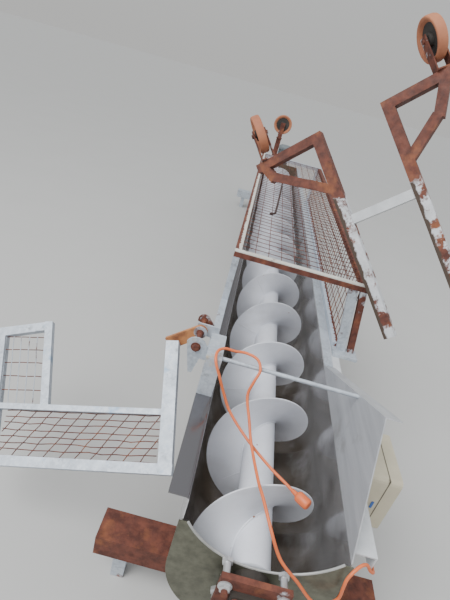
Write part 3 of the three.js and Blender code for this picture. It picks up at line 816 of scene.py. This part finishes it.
# The two wire panels; their corners are in metres in the lid's plan, the rest in millimetres
LOWER_CORNER = Vector((0.0531, 0.0303, 0.010))
LOWER_SIZE = (508.5, 140.3)
LOWER_STEPS = (50, 20)
LOWER_SAG = -5
LOWER_BENT = 2.5
LOWER_LEAN = 0.7
UPPER_CORNER = Vector((0.4511, 0.1893, 0.010))
UPPER_SIZE = (144.3, 233.5)
UPPER_STEPS = (27, 46)
UPPER_SAG = 2
UPPER_BENT = 1.0
BOSS_R = 22
BOSS_HOLE_R = 9
BOSS_Y = (586.4, 589.2)


def lid_space():
    """From the lid's flat plan to its place when it is open."""
    turn = Matrix.Rotation(-LID_OPEN, 4, "Y")
    lean = Matrix.Rotation(-LID_SLOPE, 4, "X")
    return Matrix.Translation(at(*LID_PIVOT)) @ turn @ Matrix.Translation(LID_CORNER * MM) @ lean


def lid_mesh():
    space = lid_space()
    u = (space.to_3x3() @ X).normalized()
    v = (space.to_3x3() @ Y).normalized()
    lower = Soup()
    wire_panel(lower, lower, space @ LOWER_CORNER, u, v, LOWER_SIZE, LOWER_STEPS, LOWER_SAG, LOWER_BENT,
               LOWER_LEAN)
    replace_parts(lower.done("lid_lower_wires", WIRE, "lid", slot="rusty_steel"), "lid_lower_mesh")
    columns, rows = Soup(), Soup()
    wire_panel(columns, rows, space @ UPPER_CORNER, u, v, UPPER_SIZE, UPPER_STEPS, UPPER_SAG, UPPER_BENT,
               skew=LID_SKEW)
    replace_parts(columns.done("lid_upper_wires", ZINC_WORN, "lid", slot="rusty_steel"), "lid_upper_mesh")
    rows.done("lid_upper_rows", RUST, "lid", slot="rusty_steel")
    pivot_x, _, pivot_z = LID_PIVOT
    boss = arc(pivot_x, pivot_z, BOSS_R, 0, 360, 40)[:-1]
    hole = arc(pivot_x, pivot_z, BOSS_HOLE_R, 0, 360, 28)[:-1]
    plate = with_hole("arm_plate", boss, hole, *BOSS_Y, ZINC_WORN, "lid")


lid_mesh()


# Castor wheels: outlines as (distance along the axle, radius)
TREAD_PROFILE = [(-4, 52), (-15, 62), (-16.6, 66), (-17, 70), (-15, 73), (-9, 74.8),
                 (9, 74.8), (15, 73), (17, 70), (16.6, 66), (15, 62), (4, 52)]
HUB_PROFILE = [(-17, 15), (-17, 19), (-15, 22), (-5, 24), (-5, 53),
               (5, 53), (5, 24), (15, 22), (17, 19), (17, 15)]


def wheels():
    joints = {j["name"]: j for j in frame["joints"]}
    for side in ("left", "right", "far"):
        joint = joints[f"{side}_wheel_spin"]
        centre = Vector(joint["pos_m"])
        axis = Vector(joint["axis"])
        body = f"{side}_wheel"
        tread = Soup()
        tread.spin(centre, axis, TREAD_PROFILE, 48)
        tyre = tread.done(f"{side}_tread", TREAD, body, slot="tread")
        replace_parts(tyre, f"{side}_castor_wheel")
        core = Soup()
        core.spin(centre, axis, HUB_PROFILE, 40)
        core.done(f"{side}_hub", HUB, body, slot="tread")


wheels()


# Tie rod and motor
TIE_START = (-199.7, 373, 340)
TIE_LENGTH = 395.4
TIE_R = 6
MOTOR_BASE = (0, 5095, 110.3)
MOTOR_PROFILE = [(0, 76), (3, 78), (12, 78), (14, 66), (196, 66), (198, 74), (204, 77.5), (232, 77.5),
                 (240, 72), (249.7, 55)]
FINS = 28
FIN_R = 69.5
FIN_LOW = 15
FIN_HIGH = 196
FIN_DEPTH = 8
FIN_THICK = 2.2


def tie_rod():
    rod = Soup()
    rod.spin(at(*TIE_START), X, [(0, TIE_R), (TIE_LENGTH, TIE_R)], 24)
    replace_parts(rod.done("rod_across", ZINC, slot="galvanised"), "tie_rod")


def motor():
    """The upright motor with its cooling fins."""
    body = Soup()
    centre = at(*MOTOR_BASE)
    body.spin(centre, Z, MOTOR_PROFILE, 48)
    for k in range(FINS):
        a = 2 * math.pi * k / FINS
        out = Vector((math.cos(a), math.sin(a), 0))
        side = out.cross(Z) * FIN_THICK / 2 * MM
        reach = out * FIN_DEPTH / 2 * MM
        vertices = []
        for height in (FIN_LOW, FIN_HIGH):
            p = centre + out * FIN_R * MM + Z * height * MM
            vertices += [p - side - reach, p + side - reach, p + side + reach, p - side + reach]
        body.add(vertices, skin(2, 4))
    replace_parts(body.done("motor_body", MACHINE_GREY, slot="drive_grey"), "drive_motor")


# Fasteners and small things
NEAR = -Y
STUD_X = 68
STUD_Z = 60
STUD_R = 8.8
STUD_LENGTH = 60
STUD_FACE = -4.4
STUD_HEAD = -65.2
STUD_BACK_NUT = -44
NUT_R = 14
NUT_TOP_R = 12.5
HOUSING = 38
HOUSING_FACE = -79.2
LID_BOLTS = ((499.8, 15), (584.2, 12), (669.8, 13))
COVER_FACE = 368
COVER_SCREWS_Y = (266, 434)
COVER_SCREWS_Z = (6, 168)
SCREW_PROFILE = [(0, 5), (1.6, 5), (2.4, 4)]
MARK_LOW = (311.5, 247, 74)
MARK_HIGH = (318.5, 249, 98)
SEAM_LOW = Vector((328.5, 248.6, -10.4))
SEAM_HIGH = Vector((331.5, 451.4, 185.4))
SEAM_WALL = 3
HOOK = [(-130, 1516, 464), (-121, 1507, 468), (-111, 1518, 469)]
HOOK_ROD = [(-105, 1545, 467), (-97, 1685, 464.5), (-86, 1922, 463.5), (-72, 2264, 463.5), (-60, 2560, 463.5)]
HOOK_R = 5.5


def studs():
    """Four studs with nuts on both sides carry the bearing plate."""
    bright = Soup()
    for x in (-STUD_X, STUD_X):
        for z in (-STUD_Z, STUD_Z):
            bolt(bright, at(x, STUD_HEAD, z), NEAR, 16)
            bright.spin(at(x, STUD_FACE, z), NEAR, [(0, STUD_R), (STUD_LENGTH, STUD_R)], 24)
            bright.spin(at(x, STUD_FACE, z), NEAR, [(0, NUT_R), (9, NUT_R), (10, NUT_TOP_R)], 6)
            bright.spin(at(x, STUD_BACK_NUT, z), NEAR, [(0, NUT_TOP_R), (1, NUT_R), (9, NUT_R)], 6)
    bright.done("bright_studs", BRIGHT, slot="galvanised")


def rusty_bolts():
    """Bolts along the lid's axis and on the bearing housing."""
    heads = Soup()
    pivot_x, _, pivot_z = LID_PIVOT
    for y, size in LID_BOLTS:
        bolt(heads, at(pivot_x, y, pivot_z), NEAR, size)
    for x in (-HOUSING, HOUSING):
        for z in (-HOUSING, HOUSING):
            bolt(heads, at(x, HOUSING_FACE, z), NEAR, 8)
    heads.done("rusty_bolts", RUST, slot="rusty_steel")


def enclosure_details():
    """Four cover screws, the small blue mark and the seam all round the cover, dark for the seam itself and
    partly painted shadow along it.
    """
    screws = Soup()
    for y in COVER_SCREWS_Y:
        for z in COVER_SCREWS_Z:
            screws.spin(at(COVER_FACE, y, z), X, SCREW_PROFILE, 20)
    screws.done("cover_screws", ZINC, slot="galvanised")
    mark = Soup()
    box_between(mark, MARK_LOW, MARK_HIGH)
    mark.done("blue_mark", BLUE, slot="beige", smooth=False)
    seam = Soup()
    low, high, wall = SEAM_LOW, SEAM_HIGH, SEAM_WALL
    for z0, z1 in ((low.z, low.z + wall), (high.z - wall, high.z)):
        box_between(seam, (low.x, low.y, z0), (high.x, high.y, z1))
    for y0, y1 in ((low.y, low.y + wall), (high.y - wall, high.y)):
        box_between(seam, (low.x, y0, low.z + wall), (high.x, y1, high.z - wall))
    seam.done("cover_seam", SEAM_AND_SHADE, slot="beige", smooth=False)


def hook_rod():
    """The loose hooked rod that lies on the guard."""
    rod = Soup()
    rod.tube([at(*p) for p in HOOK + HOOK_ROD], HOOK_R * MM, 10)
    rod.done("hook_rod", DARK_RUST, slot="rusty_steel")


tie_rod()
motor()
studs()
rusty_bolts()
enclosure_details()
hook_rod()


# Orange lead
LEAD_R = 4
LEAD_ROUTE = [
    (300, 228.7, 60), (300, 195, 60), (297, 130, 62), (293, 98, 68), (286, 64, 80),
    (273, 31, 104), (257, 20, 121), (240, 15, 144), (221, 3, 153), (203, -12, 147),
    (193, -21, 128), (194, -24, 100), (199, -22, 56), (182, -24, 30), (157, -27, 24),
    (134, -27, 37), (95, -23, 75), (58, -17, 104), (34, -7, 126), (5, 11, 169),
    (-24, 80, 189), (-38, 135, 183), (-66, 232, 198), (-84, 286, 228), (-105, 326, 275),
    (-99, 339, 318), (-90, 359, 345), (-103, 386, 360), (-136, 401, 361), (-169, 397, 360),
    (-201, 388, 365), (-218, 364, 364), (-215, 336, 349), (-194, 324, 313), (-170, 324, 264),
    (-138, 310, 217), (-78, 262, 185), (-12, 194, 179), (35, 156, 175), (52, 141, 174),
]
PLUG_AIM = Vector((0.75, -0.66, 0.05))
PLUG_PROFILE = [(0.7, 4.6), (4, 5.4), (16, 6.4), (20, 12.5), (24, 14), (48, 14), (53, 13), (55, 11)]


def smooth_route(points, steps):
    """A Catmull-Rom curve through the points."""
    out = []
    last = len(points) - 1
    for i in range(last):
        p0, p1, p2, p3 = (points[min(max(i + d, 0), last)] for d in (-1, 0, 1, 2))
        for k in range(steps):
            t = k / steps
            out.append(0.5 * ((2 * p1) + (p2 - p0) * t + (2 * p0 - 5 * p1 + 4 * p2 - p3) * t * t
                              + (3 * p1 - p0 - 3 * p2 + p3) * t ** 3))
    out.append(points[last])
    return out


def lead():
    """The lead from its gland, through the slack over the screw, to the plug on its end."""
    line = smooth_route([at(*p) for p in LEAD_ROUTE], 6)
    tube = Soup()
    tube.tube(line, LEAD_R * MM, 14)
    run = tube.done("lead_cord", ORANGE, slot="orange_lead")
    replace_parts(run, "lead_run")
    plug = Soup()
    plug.spin(at(*LEAD_ROUTE[-1]), PLUG_AIM, PLUG_PROFILE, 32)
    end = plug.done("lead_end", ORANGE, slot="orange_lead")
    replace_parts(end, "lead_plug")


lead()


# Stage, in metres
FLOOR_HALF = 60
FLOOR_GAP = 0.0005
FLOOR_DARK = (0.50, 0.50, 0.49)
FLOOR_LIGHT = (0.53, 0.53, 0.52)
HORIZON = (0.80, 0.80, 0.785)
SKY = (0.95, 0.98, 1.0)
SKY_FROM = 0.55
SKY_STRENGTH = 0.7
SUN_ENERGY = 1.7
SUN_ANGLE = math.radians(50)
SUN_AIM = Vector((0.45, 0.55, -1.0))
LAMP_TARGET = Vector((0.3, 1.0, 0.5))
LAMPS = (("key", (-2.2, -1.8, 4.2), 2.4, 150), ("fill", (3.4, 0.6, 3.4), 3.0, 40))


def ground():
    """A grey floor just under the feet."""
    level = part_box("near_left_leg")[0][2] - FLOOR_GAP
    corners = [(-1, -1), (1, -1), (1, 1), (-1, 1)]
    mesh = bpy.data.meshes.new("floor")
    mesh.from_pydata([(x * FLOOR_HALF, y * FLOOR_HALF, level) for x, y in corners], [], [(0, 1, 2, 3)])
    floor = bpy.data.objects.new("floor", mesh)
    bpy.context.collection.objects.link(floor)
    s = Shader("floor")
    s.colour(s.mix(s.noise(2, 3), FLOOR_DARK, FLOOR_LIGHT))
    s.bsdf.inputs["Roughness"].default_value = 0.9
    mesh.materials.append(s.mat)


def overcast():
    """A pale world, a little brighter overhead."""
    world = bpy.data.worlds.new("studio")
    bpy.context.scene.world = world
    world.use_nodes = True
    nodes = world.node_tree.nodes
    sky = nodes["Background"]
    coords = nodes.new("ShaderNodeTexCoord")
    split = nodes.new("ShaderNodeSeparateXYZ")
    ramp = nodes.new("ShaderNodeValToRGB")
    links = world.node_tree.links
    links.new(coords.outputs["Generated"], split.inputs[0])
    links.new(split.outputs["Z"], ramp.inputs["Fac"])
    links.new(ramp.outputs["Color"], sky.inputs["Color"])
    low, high = ramp.color_ramp.elements
    low.color = (*HORIZON, 1)
    high.color = (*SKY, 1)
    high.position = SKY_FROM
    sky.inputs["Strength"].default_value = SKY_STRENGTH


def lamp(name, data, aim, place=(0, 0, 0)):
    """A light at a place, shining along an aim."""
    obj = bpy.data.objects.new(name, data)
    obj.location = place
    obj.rotation_euler = aim.to_track_quat("-Z", "Y").to_euler()
    bpy.context.collection.objects.link(obj)


def lights():
    sun = bpy.data.lights.new("sun", "SUN")
    sun.energy = SUN_ENERGY
    sun.angle = SUN_ANGLE
    lamp("sun", sun, SUN_AIM)
    for name, place, size, power in LAMPS:
        area = bpy.data.lights.new(name, "AREA")
        area.size = size
        area.energy = power
        lamp(name, area, LAMP_TARGET - Vector(place), place)


ground()
overcast()
lights()
